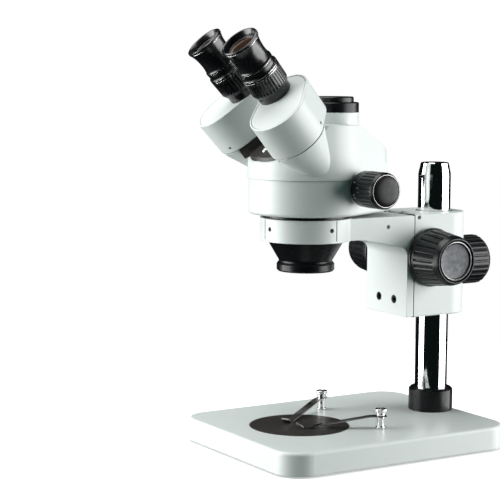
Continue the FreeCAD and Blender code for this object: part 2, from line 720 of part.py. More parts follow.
def ring_hole(angle, radius, start, length):
    """A radial cylinder in the wall of the head ring, from start millimetres off the bore."""
    turn = Rotation(Vector(0, 0, 1), angle).multiply(ALONG_X)
    inner_end = turn.multVec(Vector(0, 0, SIZES["ring_bore"] + start))
    hole = cylinder(radius, length)
    return place(hole, inner_end.x, OPTIC_Y + inner_end.y, s.foot_height + s.ring_screw_level, turn)


# ---------------------------------------------------------------- microscope head

def build_head_bottom():
    neck, cone, bore = s.nose_neck, s.nose_cone, s.ring_bore - 0.07
    low, ring_low, ring_top = s.nose_bottom, s.ring_bottom, s.ring_top + 0.2
    nose = turned("head_nose", [
        (22.7, low), (neck, low), (neck, low + 1.7), (cone, ring_low), (bore, ring_low),
        (bore, ring_top), (s.flange_radius, ring_top), (s.flange_radius, s.flange_top),
        (33, s.flange_top), (33, ring_low + 2), (22.7, low + 6)])
    subpart(at_optic(nose), "head_nose")

    outer, bottom = s.objective_radius, s.objective_bottom
    objective = turned("objective_ring", [
        (s.thread_radius, bottom), (outer - 1.4, bottom), (outer, bottom + 1.4), (outer, low - 1.8),
        (outer - 1.2, low - 0.02), (s.thread_radius, low - 0.02)])
    subpart(at_optic(objective), "objective_ring")
    glass = turned("front_glass", [(0, low + 1.2), (22.6, low + 1.2), (22.6, low + 4), (0, low + 4)])
    subpart(at_optic(glass), "front_glass")

    body = new_body("lower_casting")
    outline = new_sketch(body, offset=s.flange_top)
    oval(outline, (0, 0, s.head_radius), (0, s.head_rear_reach, s.head_rear_radius))
    pad(body, outline, s.seam_level - s.flange_top - 0.2)
    fillet(body, lambda e: e.BoundBox.ZMax < SIZES["flange_top"] + 0.01, 3)
    hollow = new_sketch(body, offset=s.seam_level - 0.2)
    oval(hollow, (0, 0, s.head_radius - s.wall), (0, s.head_rear_reach, s.head_rear_radius - s.wall))
    pocket(body, hollow, s.seam_level - s.flange_top - 3.7)
    light_way = new_sketch(body, offset=s.seam_level)
    circle(light_way, 0, 0, 26)
    pocket(body, light_way, 40)
    at_optic(body)
    solids = [body]
    for side in SIDES.values():
        axis = ALONG_X if side > 0 else ALONG_MINUS_X
        boss = at_optic(cylinder(7.6, 15), axis, x=side * 39, y=s.zoom_y, z=s.zoom_level)
        solids.append(boss)
    bore = at_optic(cylinder(s.zoom_shaft_radius + s.running, 140), ALONG_X, x=-70, y=s.zoom_y,
                    z=s.zoom_level)
    subpart(combine("cut", combine("fuse", *solids), bore), "head_lower")


def half_space(side, drop):
    """Everything above one barrel's seat plane, drop below the barrel's base."""
    tool = box(260, 260, 120)
    return at_eye(tool, side, -130, -130, -drop)


def roof_cut(drop):
    """Everything above the roof's rear slope, drop below the outer surface."""
    tool = box(160, 120, 80)
    slope = Rotation(Vector(1, 0, 0), -s.roof_fall.value)
    return at_optic(tool, slope, x=-80, y=s.roof_break, z=s.roof_level - drop)


def upper_blank(name, inset, top):
    body = new_body(name)
    outline = new_sketch(body, offset=s.seam_level)
    oval(outline, (0, 0, s.upper_radius - inset),
         (0, s.head_rear_reach, s.upper_rear_radius - inset))
    pad(body, outline, top - s.seam_level, taper=-4)
    return at_optic(body)


def flare(side):
    """One side of the roof swelling out from the wall up to a barrel's seat."""
    cone = doc.addObject("Part::Cone", "flare")
    bind(cone, "Radius1", 12)
    bind(cone, "Radius2", s.flare_radius)
    bind(cone, "Height", 41.4)
    return combine("common", at_eye(cone, side, 0, 0, -41.9), beside(side, s.brow_half, 90))


def beside(side, start, width):
    """A tall block beside the symmetry plane, from start millimetres out."""
    block = box(width, 160, 90)
    left = start if side > 0 else -start - width
    return at_optic(block, x=left, y=-100, z=s.seam_level)


def build_head_top():
    drop = s.brow_drop
    outer = combine("cut", upper_blank("upper_outer", 0, s.roof_level), half_space(1, drop),
                    half_space(-1, drop), roof_cut(0))
    inner = combine("cut", upper_blank("upper_inner", s.wall, s.roof_level - s.wall),
                    half_space(1, drop + s.wall), half_space(-1, drop + s.wall), roof_cut(s.wall))
    bores = []
    for side in SIDES.values():
        bores.append(at_eye(cylinder(s.sleeve_radius + s.running, 30), side, 0, 0, -16))
        bores.append(at_eye(cylinder(14, 16), side, 0, 0, -24))
    port = at_optic(cylinder(s.port_radius, s.port_top - 292), y=s.port_y, z=292)
    port_bore = at_optic(cylinder(s.port_bore, 50), y=s.port_y, z=284)
    rod_way = at_optic(cylinder(2.56, 40), ALONG_MINUS_X, x=-28, y=16, z=288)
    solid = combine("fuse", outer, port, *[flare(side) for side in SIDES.values()])
    subpart(combine("cut", solid, inner, port_bore, rod_way, *bores), "head_upper")

    bore, low, top = s.port_bore, s.port_top, s.port_collar_top
    collar = turned("photo_collar", [
        (bore, low), (s.port_radius - 0.3, low), (s.port_radius - 0.3, top - 0.8),
        (s.port_radius - 1.1, top), (bore, top)])
    subpart(at_optic(collar, y=s.port_y), "photo_collar")
    cap_top, disc = s.port_cap_top, s.port_cap_radius
    cap = turned("photo_cap", [
        (0, top + 0.1), (bore - 2, top + 0.1), (bore - 2, top - 8), (bore - s.running, top - 8),
        (bore - s.running, top + 0.1), (disc, top + 0.1), (disc, cap_top - 0.9),
        (disc - 0.9, cap_top), (0, cap_top)])
    subpart(at_optic(cap, y=s.port_y), "photo_cap")

    halves = []
    for side in SIDES.values():
        plate = at_eye(box(140, 90, 2.6), side, -70, -45, 0.1 - drop)
        outline = upper_blank("brow_outline", 1.5, s.roof_level - 0.5)
        plate = combine("common", plate, outline, beside(side, 0, s.brow_half - 0.1))
        collar = at_eye(cylinder(s.flare_radius - 2, drop - 0.7), side, 0, 0, 0.1 - drop)
        collar = combine("common", collar, beside(side, 2, s.brow_half - 2.1))
        halves.append(combine("cut", combine("fuse", plate, collar),
                              at_eye(cylinder(s.sleeve_radius + 0.4, 30), side, 0, 0, -20)))
    subpart(combine("cut", combine("fuse", *halves), roof_cut(-0.1)), "brow_plate")


def build_zoom():
    module = SIZES["zoom_module"]
    large = gear_face(module, SIZES["zoom_teeth"], 0.4, 0.5, 0.08)
    small = gear_face(module, SIZES["zoom_small_teeth"], 0.35, 0.5, 0.08)
    half_length = SIZES["zoom_knob_end"] - 4
    shaft = shaft_with_gear(SIZES["zoom_shaft_radius"] - 0.6, 20, [(large, 2.5, 7.5), (small, -7.5, -2.5)])
    for side in SIDES.values():
        start = 9 * side if side > 0 else -half_length
        journal = Part.makeCylinder(SIZES["zoom_shaft_radius"], half_length - 9,
                                    Vector(start, 0, 0), Vector(1, 0, 0))
        shaft = shaft.fuse(journal)
    where = (0, OPTIC_Y + s.zoom_y, s.foot_height + s.zoom_level)
    subpart(shape_feature("zoom_shaft", shaft.removeSplitter(), where), "zoom_shaft")

    caps = []
    radius, cap = s.zoom_knob_radius, s.zoom_cap_radius
    length = s.zoom_knob_end - s.zoom_knob_start
    bore = s.zoom_shaft_radius + 0.01
    for name, side in SIDES.items():
        knob = turned(f"zoom_knob_{name}", [
            (bore, 0), (radius - 2, 0), (radius, 2), (radius, length - 3.5), (radius - 1.4, length - 0.5),
            (radius - 1.8, length), (cap + 0.3, length), (cap + 0.3, length - 3.5), (bore, length - 3.5)])
        fluted(knob, 30, 0.9, radius + 0.25, length - 4.5, length - 8.5)
        axis = ALONG_X if side > 0 else ALONG_MINUS_X
        at_optic(knob, axis, x=side * s.zoom_knob_start, y=s.zoom_y, z=s.zoom_level)
        subpart(knob, f"zoom_knob_{name}")
        dome = turned("zoom_cap", [
            (0, length - 3.2), (cap, length - 3.2), (cap, length - 0.2), (cap - 1.5, length + 1),
            (cap - 5, length + 2.2), (0, length + 2.8)])
        caps.append(at_optic(dome, axis, x=side * s.zoom_knob_start, y=s.zoom_y, z=s.zoom_level))
    subpart(group(*caps), "zoom_caps")

    bridge_low = 280.0
    rods = [at_optic(cylinder(s.rod_radius, bridge_low - 228.2), y=y, z=228.2)
            for y in (-s.rod_y, s.rod_y)]
    bridge = at_optic(box(10, 38, 3), x=-5, y=-19, z=bridge_low)
    floor_bar = at_optic(box(5, 60, 2.5), x=-2.5, y=-30, z=228.3)
    subpart(combine("fuse", bridge, floor_bar, *rods), "guide_rods")

    build_cell("lower", 1, s.cell_lower, SIZES["zoom_teeth"], 0.35)
    build_cell("upper", -1, s.cell_upper, SIZES["zoom_small_teeth"], 0.25)


def build_cell(name, side, level, teeth, addendum):
    """A lens carrier on the guide rods, its rack against one gear of the zoom shaft."""
    module = SIZES["zoom_module"]
    thick = s.cell_thick
    body = new_body(f"cell_plate_{name}")
    outline = new_sketch(body, offset=level)
    rectangle(outline, -24, -19, 24, 19)
    pad(body, outline, thick)
    fillet(body, lambda e: abs(e.BoundBox.ZLength - SIZES["cell_thick"]) < 0.01, 5)
    holes = new_sketch(body, offset=level + thick)
    for sign in (-1, 1):
        circle(holes, sign * s.lens_x, 0, s.lens_radius + 0.05)
        circle(holes, 0, sign * s.rod_y, s.rod_radius + s.running)
    pocket(body, holes, thick)
    at_optic(body)
    pitch_line = SIZES["zoom_y"] - module * teeth / 2
    back = 2.4
    reach = 13.0
    low = min(level.value, SIZES["zoom_level"] - reach)
    high = max(level.value + thick.value, SIZES["zoom_level"] + reach)
    outline = rack_face(module, low, high, SIZES["zoom_level"], addendum, 0.55, 0.08, back)
    x_start, x_end = (2.8, 7.2) if side > 0 else (-7.2, -2.8)
    rack = shape_feature("zoom_rack", rack_solid(outline, x_start, x_end, pitch_line),
                         (0, OPTIC_Y, s.foot_height))
    tab = at_optic(box(x_end - x_start, pitch_line - 18.6, thick), x=x_start, y=18, z=level)
    subpart(combine("fuse", body, tab, rack), f"zoom_cell_{name}")
    lenses = []
    for sign in (-1, 1):
        rim = s.lens_radius
        lens = turned("zoom_lens", [(0, level + 0.2), (rim, level + 1), (rim, level + thick - 1),
                                    (0, level + thick - 0.2)])
        lenses.append(at_optic(lens, x=sign * s.lens_x))
    subpart(group(*lenses), f"zoom_lenses_{name}")


def build_splitter():
    """Push-pull rod on the left that swings light between the left eye and the photo port."""
    rod = turned("splitter_rod", [(0, 0), (2.5, 0), (2.5, 42), (4.6, 42), (5.2, 43), (5.2, 51),
                                  (4.4, 52), (0, 52)])
    subpart(at_optic(rod, ALONG_MINUS_X, x=-22, y=16, z=288), "splitter_rod")
    lean = Rotation(Vector(1, 0, 0), 45)
    mirror = at_optic(box(14, 18, 1.6), lean, x=-21.9, y=10, z=282)
    subpart(mirror, "splitter_mirror")


# ---------------------------------------------------------------- inclined eyepiece halves

def build_eye(name, side):
    tall = s.housing_height
    tube = (-side * s.tube_x, s.tube_y)
    lobe = -side * s.lobe_x

    def outline(sketch, inset):
        oval(sketch, (0, 0, s.barrel_radius - inset), (lobe, s.tube_y, s.lobe_radius - inset))

    body = new_body("housing_shell")
    base = new_sketch(body)
    outline(base, 0.4)
    pad(body, base, tall, taper=0.3)
    fillet(body, lambda e: e.BoundBox.ZMax < 0.01, 1.2)
    fillet(body, lambda e: e.BoundBox.ZMin > SIZES["housing_height"] - 0.01, 0.6)
    recess = new_sketch(body, offset=tall)
    outline(recess, s.lid_edge + 0.5)
    pocket(body, recess, s.lid_depth)
    hollow = new_sketch(body, offset=tall - s.lid_depth)
    outline(hollow, 4.2)
    pocket(body, hollow, tall - s.lid_depth - 3.5)
    sleeve = new_sketch(body, offset=-13)
    circle(sleeve, 0, 0, s.sleeve_radius)
    pad(body, sleeve, 17)
    light_way = new_sketch(body, offset=-13)
    circle(light_way, 0, 0, 17)
    pocket(body, light_way, 17.5, upward=True)
    grub_hole = cylinder(1.5, 9)
    across = Rotation(Vector(0, 0, 1), GRUB_ANGLES[name]).multiply(ALONG_X)
    reach = across.multVec(Vector(0, 0, SIZES["barrel_radius"] - 5))
    place(grub_hole, reach.x, reach.y, 5.5, across)
    moved = combine("cut", body, grub_hole)
    subpart(at_eye(moved, side), f"prism_housing_{name}")

    cover = new_body(f"prism_cover_{name}")
    plate = new_sketch(cover, offset=tall - s.lid_depth)
    outline(plate, s.lid_edge + 0.5 + s.lid_gap)
    pad(cover, plate, s.lid_depth)
    fillet(cover, lambda e: e.BoundBox.ZMin > SIZES["housing_height"] - 0.01, 0.6)
    tube_way = new_sketch(cover, offset=tall)
    circle(tube_way, tube[0], tube[1], s.tube_radius - 4)
    pocket(cover, tube_way, 4)
    subpart(at_eye(cover, side), f"prism_cover_{name}")

    prism = new_body(f"prism_{name}")
    section = new_sketch(prism, "XZ_Plane", -14)
    polygon(section, [(-12, 5), (12, 5), (12, 18), (-12, 29)])
    pad(prism, section, 20)
    subpart(at_eye(prism, side, -side * 4, 8, 0), f"prism_{name}")

    bore = s.tube_bore
    tube_top = s.ring_end - 7
    tube_body = turned(f"eye_tube_{name}", [
        (bore, tall + 0.1), (s.tube_radius, tall + 0.1), (s.tube_radius, tube_top), (bore, tube_top)])
    subpart(at_eye(tube_body, side, *tube), f"eye_tube_{name}")

    inner = s.tube_radius + s.running
    outer, start, end = s.diopter_radius, s.ring_start, s.ring_end
    ring = turned(f"diopter_ring_{name}", [
        (inner, start), (outer - 1.6, start), (outer - 0.4, start + 2), (outer, end - 7),
        (outer, end - 1), (outer - 0.6, end), (outer - 1.1, end), (outer - 1.1, tube_top + 0.5),
        (inner, tube_top + 0.5)])
    fluted(ring, 36, 0.5, outer, end - 4.5, end - start - 7.5)
    subpart(at_eye(ring, side, *tube), f"diopter_ring_{name}")

    fit = bore - s.running
    top = s.eyepiece_start
    flange, flange_low = outer - 1.5, tube_top + 4.3
    sleeve = turned(f"diopter_sleeve_{name}", [
        (fit - 1.2, tall + 4), (fit, tall + 4), (fit, flange_low), (flange, flange_low),
        (flange, top - 0.4), (fit - 1.2, top - 0.4)])
    subpart(at_eye(sleeve, side, *tube), f"diopter_sleeve_{name}")

    waist, rim, high = s.waist_radius, s.rim_radius, s.rim_height
    eye_bore = s.eye_bore
    eyepiece = turned(f"eyepiece_{name}", [
        (11.4, tall + 8), (fit - 1.25, tall + 8), (fit - 1.25, top), (17.2, top), (17.2, top + 2.2),
        (waist + 0.9, top + 3.2), (waist, top + 8), (waist + 0.2, top + 13), (waist + 1.1, top + 19),
        (rim - 0.7, high - 4), (rim, high - 2.2), (rim, high - 0.9), (rim - 1, high),
        (eye_bore + 2.4, high), (eye_bore, high - 3.5), (eye_bore, high - 8), (11.4, high - 8)])
    subpart(at_eye(eyepiece, side, *tube), f"eyepiece_{name}")

    lens = turned(f"eye_lens_{name}", [
        (0, high - 7.9), (eye_bore - 0.1, high - 7.9), (eye_bore - 0.1, high - 6.2),
        (eye_bore * 0.62, high - 5.1), (0, high - 4.6)])
    subpart(at_eye(lens, side, *tube), f"eye_lens_{name}")


def check_document():
    doc.recompute()
    for obj in doc.Objects:
        if "Invalid" in obj.State or "Error" in obj.State:
            raise RuntimeError(f"{obj.Name} ({obj.Label}) failed: {obj.State}")
    for piece in SUBPARTS:
        if piece.Shape.isNull() or not piece.Shape.isValid() or not piece.Shape.Solids:
            raise RuntimeError(f"{piece.Label} has no valid solid")


build_base()
build_pillar()
build_clips()
build_focus_block()
build_pillar_lock()
build_focus_drive()
build_carriage()
build_head_bottom()
build_head_top()
build_zoom()
build_splitter()
for side_name, side_sign in SIDES.items():
    build_eye(side_name, side_sign)
check_document()

os.makedirs("parts", exist_ok=True)
for piece in SUBPARTS:
    piece.Shape.exportStep(f"parts/{piece.Label}.step")
print(len(SUBPARTS), "pieces")
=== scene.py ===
import json
import math

import bmesh
import bpy
from mathutils import Matrix, Vector


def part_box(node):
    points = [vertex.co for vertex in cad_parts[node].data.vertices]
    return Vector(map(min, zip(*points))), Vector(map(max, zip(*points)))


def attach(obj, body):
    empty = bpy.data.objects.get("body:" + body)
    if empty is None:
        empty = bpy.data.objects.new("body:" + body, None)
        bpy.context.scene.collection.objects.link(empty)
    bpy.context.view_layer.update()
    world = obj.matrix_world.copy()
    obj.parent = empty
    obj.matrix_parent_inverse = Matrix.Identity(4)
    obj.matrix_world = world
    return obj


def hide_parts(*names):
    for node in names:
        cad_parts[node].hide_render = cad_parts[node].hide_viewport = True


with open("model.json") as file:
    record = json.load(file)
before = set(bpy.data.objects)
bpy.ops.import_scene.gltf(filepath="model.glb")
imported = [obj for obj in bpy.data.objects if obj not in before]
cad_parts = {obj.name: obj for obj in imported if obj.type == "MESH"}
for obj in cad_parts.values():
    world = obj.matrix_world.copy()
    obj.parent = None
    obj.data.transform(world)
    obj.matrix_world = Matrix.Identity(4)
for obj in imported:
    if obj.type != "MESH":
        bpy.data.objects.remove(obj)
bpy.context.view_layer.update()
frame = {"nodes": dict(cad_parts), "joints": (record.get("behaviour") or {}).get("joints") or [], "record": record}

MM = 0.001
SIDES = {"left": -1, "right": 1}
SHARP_EDGE = math.radians(38)  # faces that meet at more than this keep a crisp edge
LINE_STEP = 1.5  # the longest step along a ribbed outline, mm


# ---------------------------------------------------------------- materials

class Finish:
    """One procedural material: a Principled shader and the nodes that feed it."""

    def __init__(self, name, colour, roughness, metallic=0.0, **sockets):
        self.material = bpy.data.materials.new(name)
        self.material.use_nodes = True
        self.tree = self.material.node_tree
        self.shader = self.tree.nodes["Principled BSDF"]
        self.colour = colour
        self.set(self.shader, **{"Base Color": (*colour, 1), "Roughness": roughness,
                                 "Metallic": metallic})
        self.set(self.shader, **{key.replace("_", " "): value for key, value in sockets.items()})
        self.place = self.node("ShaderNodeTexCoord").outputs["Object"]
        self.normal = None

    @staticmethod
    def set(node, **values):
        for key, value in values.items():
            node.inputs[key].default_value = value

    def node(self, kind, **settings):
        made = self.tree.nodes.new(kind)
        for key, value in settings.items():
            setattr(made, key, value)
        return made

    def link(self, source, target):
        self.tree.links.new(source, target)

    def stretched(self, scale, turn=(0, 0, 0), offset=(0, 0, 0)):
        """The place on the object, stretched by scale, for grain that runs one way."""
        mapping = self.node("ShaderNodeMapping")
        self.link(self.place, mapping.inputs["Vector"])
        self.set(mapping, Location=offset, Rotation=turn, Scale=scale)
        return mapping.outputs["Vector"]

    def noise(self, scale, detail=2.0, roughness=0.5, vector=None):
        noise = self.node("ShaderNodeTexNoise")
        self.link(vector or self.place, noise.inputs["Vector"])
        self.set(noise, Scale=scale, Detail=detail, Roughness=roughness)
        return noise.outputs["Fac"]

    def wave(self, scale, direction, vector=None):
        wave = self.node("ShaderNodeTexWave", wave_type="RINGS", rings_direction=direction)
        self.link(vector or self.place, wave.inputs["Vector"])
        self.set(wave, Scale=scale, Distortion=0.0)
        return wave.outputs["Fac"]

    def spread(self, source, low, high, start=0.3, end=0.7):
        """source moved from start..end to low..high, and held there."""
        spread = self.node("ShaderNodeMapRange")
        self.link(source, spread.inputs["Value"])
        limits = {"From Min": start, "From Max": end, "To Min": low, "To Max": high}
        self.set(spread, **limits)
        return spread.outputs["Result"]

    def soften_edges(self, radius):
        """Sharp edges shade as if rounded by radius."""
        bevel = self.node("ShaderNodeBevel", samples=4)
        self.set(bevel, Radius=radius)
        self.normal = bevel.outputs["Normal"]
        return self

    def bump(self, source, height, strength=1.0):
        bump = self.node("ShaderNodeBump")
        self.set(bump, Strength=strength, Distance=height)
        self.link(source, bump.inputs["Height"])
        if self.normal is not None:
            self.link(self.normal, bump.inputs["Normal"])
        self.normal = bump.outputs["Normal"]
        return self

    def vary_roughness(self, source, low, high):
        self.link(self.spread(source, low, high), self.shader.inputs["Roughness"])
        return self

    def vary_colour(self, source, other, amount=1.0, start=0.3, end=0.7):
        """The colour runs to other where source is high."""
        mix = self.node("ShaderNodeMix", data_type="RGBA")
        self.link(self.spread(source, 0.0, amount, start, end), mix.inputs[0])
        before = self.shader.inputs["Base Color"]
        if before.is_linked:
            self.link(before.links[0].from_socket, mix.inputs[6])
        else:
            mix.inputs[6].default_value = (*self.colour, 1)
        mix.inputs[7].default_value = (*other, 1)
        self.link(mix.outputs[2], before)
        return self

    def lighten_edges(self, radius, colour, amount):
        """Edges are drawn a little lighter, where the rounded normal turns away from the true one."""
        bevel = self.node("ShaderNodeBevel", samples=4)
        self.set(bevel, Radius=radius)
        true = self.node("ShaderNodeNewGeometry")
        dot = self.node("ShaderNodeVectorMath", operation="DOT_PRODUCT")
        self.link(bevel.outputs["Normal"], dot.inputs[0])
        self.link(true.outputs["Normal"], dot.inputs[1])
        invert = self.node("ShaderNodeMath", operation="SUBTRACT")
        invert.inputs[0].default_value = 1.0
        self.link(dot.outputs["Value"], invert.inputs[1])
        return self.vary_colour(invert.outputs["Value"], colour, amount, 0.02, 0.25)

    def done(self):
        if self.normal is not None:
            self.link(self.normal, self.shader.inputs["Normal"])
        return self.material


def painted(name, colour, shade):
    """Powder coat: a fine orange peel over cast metal."""
    finish = Finish(name, colour, 0.4)
    finish.soften_edges(0.7 * MM)
    finish.bump(finish.noise(900, 3), 0.05 * MM, 0.35)
    finish.bump(finish.noise(60, 2), 0.12 * MM, 0.2)
    finish.vary_colour(finish.noise(22, 4), shade, 0.5)
    finish.vary_roughness(finish.noise(300, 3), 0.34, 0.46)
    return finish.done()


def plastic(name, colour, low, high, grain, edge_colour, shine=0.3):
    """Moulded black plastic with a spark-eroded grain."""
    finish = Finish(name, colour, 0.4, Specular_IOR_Level=shine)
    finish.soften_edges(0.35 * MM)
    finish.bump(finish.noise(grain, 2, 0.6), 0.05 * MM, 0.45)
    finish.vary_colour(finish.noise(35, 3), tuple(c * 1.7 for c in colour), 0.6)
    # the edges are drawn a little lighter than the faces
    finish.lighten_edges(0.5 * MM, edge_colour, 0.5)
    finish.vary_roughness(finish.noise(180, 4), low, high)
    return finish.done()


def polished(name, colour, roughness, wobble, along=(40, 40, 900)):
    """Plated or ground metal with faint polishing lines along one direction."""
    finish = Finish(name, colour, roughness, 1.0)
    finish.soften_edges(0.25 * MM)
    finish.bump(finish.noise(1, 3, 0.6, finish.stretched(along)), wobble, 0.3)
    finish.vary_roughness(finish.noise(50, 4), roughness * 0.6, roughness * 1.6)
    return finish.done()


def turned_metal(name, colour, roughness, centre, axis, pitch, height):
    """Metal faced on a lathe: rings round an axis through centre."""
    finish = Finish(name, colour, roughness, 1.0)
    finish.soften_edges(0.3 * MM)
    spot = finish.stretched((1, 1, 1), offset=tuple(-c for c in centre))
    finish.bump(finish.wave(1 / (pitch * math.tau), axis, spot), height, 0.6)
    finish.bump(finish.noise(700, 3, 0.6), 0.03 * MM, 0.4)
    finish.vary_colour(finish.noise(90, 4), tuple(c * 0.75 for c in colour), 0.6)
    finish.vary_roughness(finish.noise(240, 4), roughness * 0.85, roughness * 1.2)
    return finish.done()


def glass(name, tint, film):
    """Coated lens glass, faintly coloured by its coating."""
    finish = Finish(name, tint, 0.02, IOR=1.52, Transmission_Weight=1.0,
                    Thin_Film_Thickness=film, Thin_Film_IOR=1.38)
    finish.bump(finish.noise(30, 1), 0.004 * MM, 0.2)
    finish.vary_roughness(finish.noise(120, 3), 0.01, 0.035)
    return finish.done()


def coated(name, colour, shade):
    """A dark lens under its amber anti-reflection coating."""
    finish = Finish(name, colour, 0.05, Coat_Weight=1.0, Coat_Roughness=0.02, Coat_IOR=1.7,
                    Coat_Tint=(1.0, 0.86, 0.76, 1))
    finish.vary_colour(finish.noise(70, 2), shade, 0.8)
    finish.vary_roughness(finish.noise(200, 3), 0.03, 0.07)
    return finish.done()


WHITE = painted("white_powder_coat", (0.60, 0.635, 0.62), (0.575, 0.615, 0.60))
BLACK_PLASTIC = plastic("black_knob_plastic", (0.003, 0.0036, 0.0045), 0.26, 0.36, 1500,
                        (0.02, 0.02, 0.022), 0.36)
SOFT_RUBBER = plastic("soft_black_rubber", (0.005, 0.0058, 0.007), 0.40, 0.52, 1100,
                      (0.02, 0.02, 0.02))
FOOT_RUBBER = plastic("foot_rubber", (0.02, 0.02, 0.02), 0.7, 0.85, 700, (0.05, 0.05, 0.05))
BLACK_METAL = plastic("black_anodised_metal", (0.003, 0.0032, 0.004), 0.24, 0.34, 2200,
                      (0.02, 0.02, 0.022), 0.26)
EYE_BLACK = plastic("black_lacquered_brass", (0.003, 0.0032, 0.004), 0.20, 0.30, 2200,
                    (0.03, 0.03, 0.033), 0.6)
STAGE_BLACK = plastic("stage_plate_lacquer", (0.026, 0.024, 0.022), 0.36, 0.44, 1700,
                      (0.03, 0.03, 0.03))
CHROME = polished("chromed_steel", (0.86, 0.87, 0.88), 0.045, 0.01 * MM)
BRIGHT = polished("bright_plated_steel", (0.78, 0.78, 0.77), 0.12, 0.02 * MM)
BLACK_STEEL = polished("black_oxide_steel", (0.012, 0.012, 0.013), 0.42, 0.03 * MM)
SPRING_STEEL = polished("spring_steel", (0.36, 0.35, 0.34), 0.3, 0.03 * MM, (60, 700, 700))
STEEL = polished("ground_steel", (0.62, 0.62, 0.62), 0.25, 0.02 * MM)
BRASS = polished("brass", (0.78, 0.58, 0.28), 0.28, 0.03 * MM)
GLASS = glass("coated_glass", (0.96, 0.93, 0.90), 420)
LENS_COAT = coated("coated_eye_lens", (0.022, 0.015, 0.013), (0.06, 0.035, 0.02))
DIAL_WHITE = painted("dial_paint", (0.75, 0.76, 0.76), (0.68, 0.69, 0.69))
MIRROR = polished("front_silvered_mirror", (0.9, 0.9, 0.92), 0.02, 0.002 * MM)


def joint(name):
    return next(j for j in frame["joints"] if j["name"] == name)


def joint_place(name):
    return Vector(joint(name)["pos_m"])


def centre(node):
    low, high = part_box(node)
    return (low + high) / 2


CAP = centre("focus_caps")
DISC = turned_metal("turned_aluminium", (0.075, 0.078, 0.082), 0.5, (0, CAP.y, CAP.z), "X",
                    0.35 * MM, 0.02 * MM)


def paint_nodes():
    slots = {
        "white_paint": WHITE, "rubber": FOOT_RUBBER, "soft_rubber": SOFT_RUBBER,
        "black_plate": STAGE_BLACK, "chromed_steel": CHROME, "black_metal": BLACK_METAL,
        "black_plastic": BLACK_PLASTIC, "bright_steel": BRIGHT, "dark_steel": BLACK_STEEL,
        "steel": STEEL, "brass": BRASS, "machined_aluminium": DISC, "optical_glass": GLASS,
        "mirror": MIRROR,
    }
    for entry in frame["record"]["subparts"]:
        node = frame["nodes"][entry["node"]]
        node.data.materials.clear()
        finish = slots[entry["material_slot"]]
        if entry["node"].startswith("clip_arm"):
            finish = SPRING_STEEL
        elif entry["node"].startswith(("eye_tube", "diopter")):
            finish = EYE_BLACK
        node.data.materials.append(finish)


def paint_gap_shadow():
    """Painted shadow: the faces that slide past each other between arm and focus block are given black steel, dark
    as the shadow in the gap between them.
    """
    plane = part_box("focus_housing")[0].y
    gap, overlap = 1.2 * MM, 0.2 * MM
    for name in ("focus_housing", "carriage_arm"):
        mesh = frame["nodes"][name].data
        # black steel on the joint faces: painted shadow of the gap
        mesh.materials.append(BLACK_STEEL)
        for face in mesh.polygons:
            faces_joint = abs(face.normal.y) > 0.99
            if faces_joint and plane - gap < face.center.y < plane + overlap:
                face.material_index = 1


paint_nodes()
paint_gap_shadow()


# ---------------------------------------------------------------- turned pieces

class Axis:
    """A line that pieces are turned about, with lengths in millimetres along it."""

    def __init__(self, origin, direction):
        self.origin = Vector(origin)
        self.ahead = Vector(direction).normalized()
        rough = Vector((0, 0, 1)) if abs(self.ahead.z) < 0.95 else Vector((1, 0, 0))
        self.up = (rough - self.ahead * rough.dot(self.ahead)).normalized()
        self.across = self.up.cross(self.ahead)

    def reach(self, node):
        """How far a CAD node goes along the axis, and how far out from it."""
        low, high, radius = math.inf, -math.inf, 0.0
        for vertex in frame["nodes"][node].data.vertices:
            offset = vertex.co - self.origin
            along = offset.dot(self.ahead)
            low, high = min(low, along), max(high, along)
            radius = max(radius, (offset - self.ahead * along).length)
        return low / MM, high / MM, radius / MM

    def moved(self, along):
        """The same line with its origin moved along it."""
        return Axis(self.origin + self.ahead * along * MM, self.ahead)

    def point(self, radius, angle, along):
        out = self.up * math.cos(angle) + self.across * math.sin(angle)
        return self.origin + (self.ahead * along + out * radius) * MM


def smooth_line(points, steps=6):
    """A curve through points (radius, height), Catmull-Rom."""
    line = []
    padded = [points[0], *points, points[-1]]
    for i in range(1, len(padded) - 2):
        a, b, c, d = (Vector(p) for p in padded[i - 1:i + 3])
        for step in range(steps):
            t = step / steps
            line.append(tuple(0.5 * (2 * b + (c - a) * t + (2 * a - 5 * b + 4 * c - d) * t * t
                                     + (3 * b - a - 3 * c + d) * t ** 3)))
    return line + [tuple(points[-1])]


def rounded(points, radius, steps=3):
    """The line through points with each inner corner rounded off."""
    line = [tuple(points[0])]
    for before, here, after in zip(points, points[1:], points[2:]):
        here = Vector(here)
        back, on = Vector(before) - here, Vector(after) - here
        reach = min(radius, back.length * 0.45, on.length * 0.45)
        start, end = here + back.normalized() * reach, here + on.normalized() * reach
        for step in range(steps + 1):
            t = step / steps
            line.append(tuple(start.lerp(here, t).lerp(here.lerp(end, t), t)))
    return line + [tuple(points[-1])]


def thick_line(points):
    """Points added so that no step along the line is longer than LINE_STEP."""
    line = [tuple(points[0])]
    for before, after in zip(points, points[1:]):
        count = max(1, math.ceil((Vector(after) - Vector(before)).length / LINE_STEP))
        line += [tuple(Vector(before).lerp(Vector(after), (k + 1) / count)) for k in range(count)]
    return line


